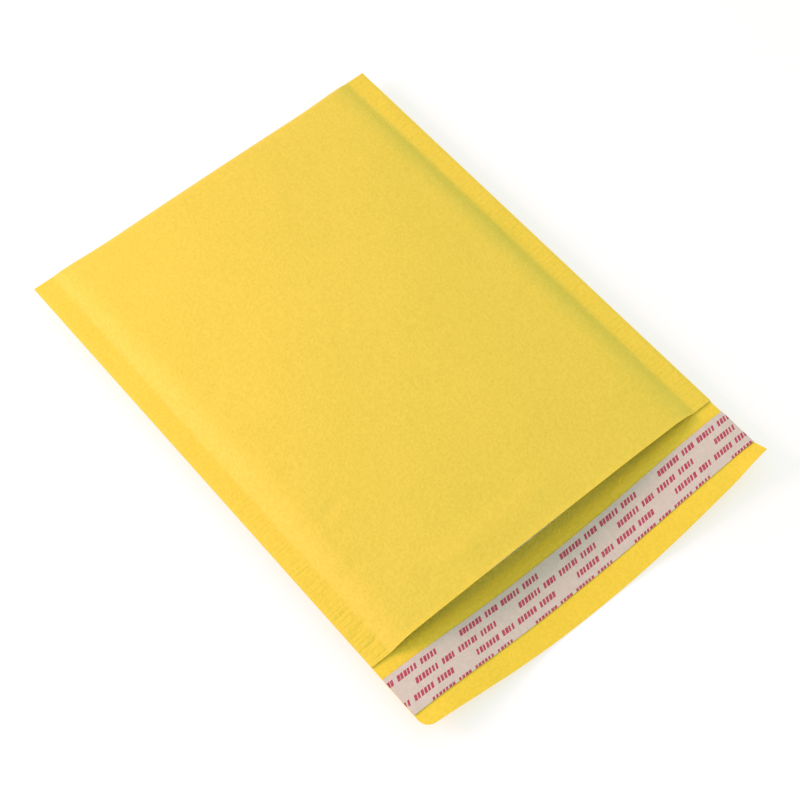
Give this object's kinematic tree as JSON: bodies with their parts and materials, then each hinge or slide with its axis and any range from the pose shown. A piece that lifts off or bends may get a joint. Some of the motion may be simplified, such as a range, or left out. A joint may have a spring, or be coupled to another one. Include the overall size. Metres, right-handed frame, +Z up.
{
  "type": "padded envelope",
  "caption": "Kraft envelope lying open and flat, lined with bubble film, with crimped side seams and a self-seal flap whose adhesive is under a release liner.",
  "frame": {"origin": "on the surface that the envelope lies on, under the middle of its outline", "axes": "+X along the width, +Y from the mouth to the bottom fold, +Z up out of the front panel"},
  "size_m": [0.18, 0.2586, 0.0166],
  "materials": {
    "kraft_paper": "matte yellow kraft paper",
    "bubble_film": "clear glossy polyethylene film",
    "adhesive": "tacky pale hot melt",
    "liner_paper": "silicone-coated pale paper with printed marks"
  },
  "bodies": {
    "root": {"outer_sheet": "kraft_paper", "bubble_lining": "bubble_film", "adhesive_strip": "adhesive", "release_liner": "liner_paper"}
  },
  "joints": []
}
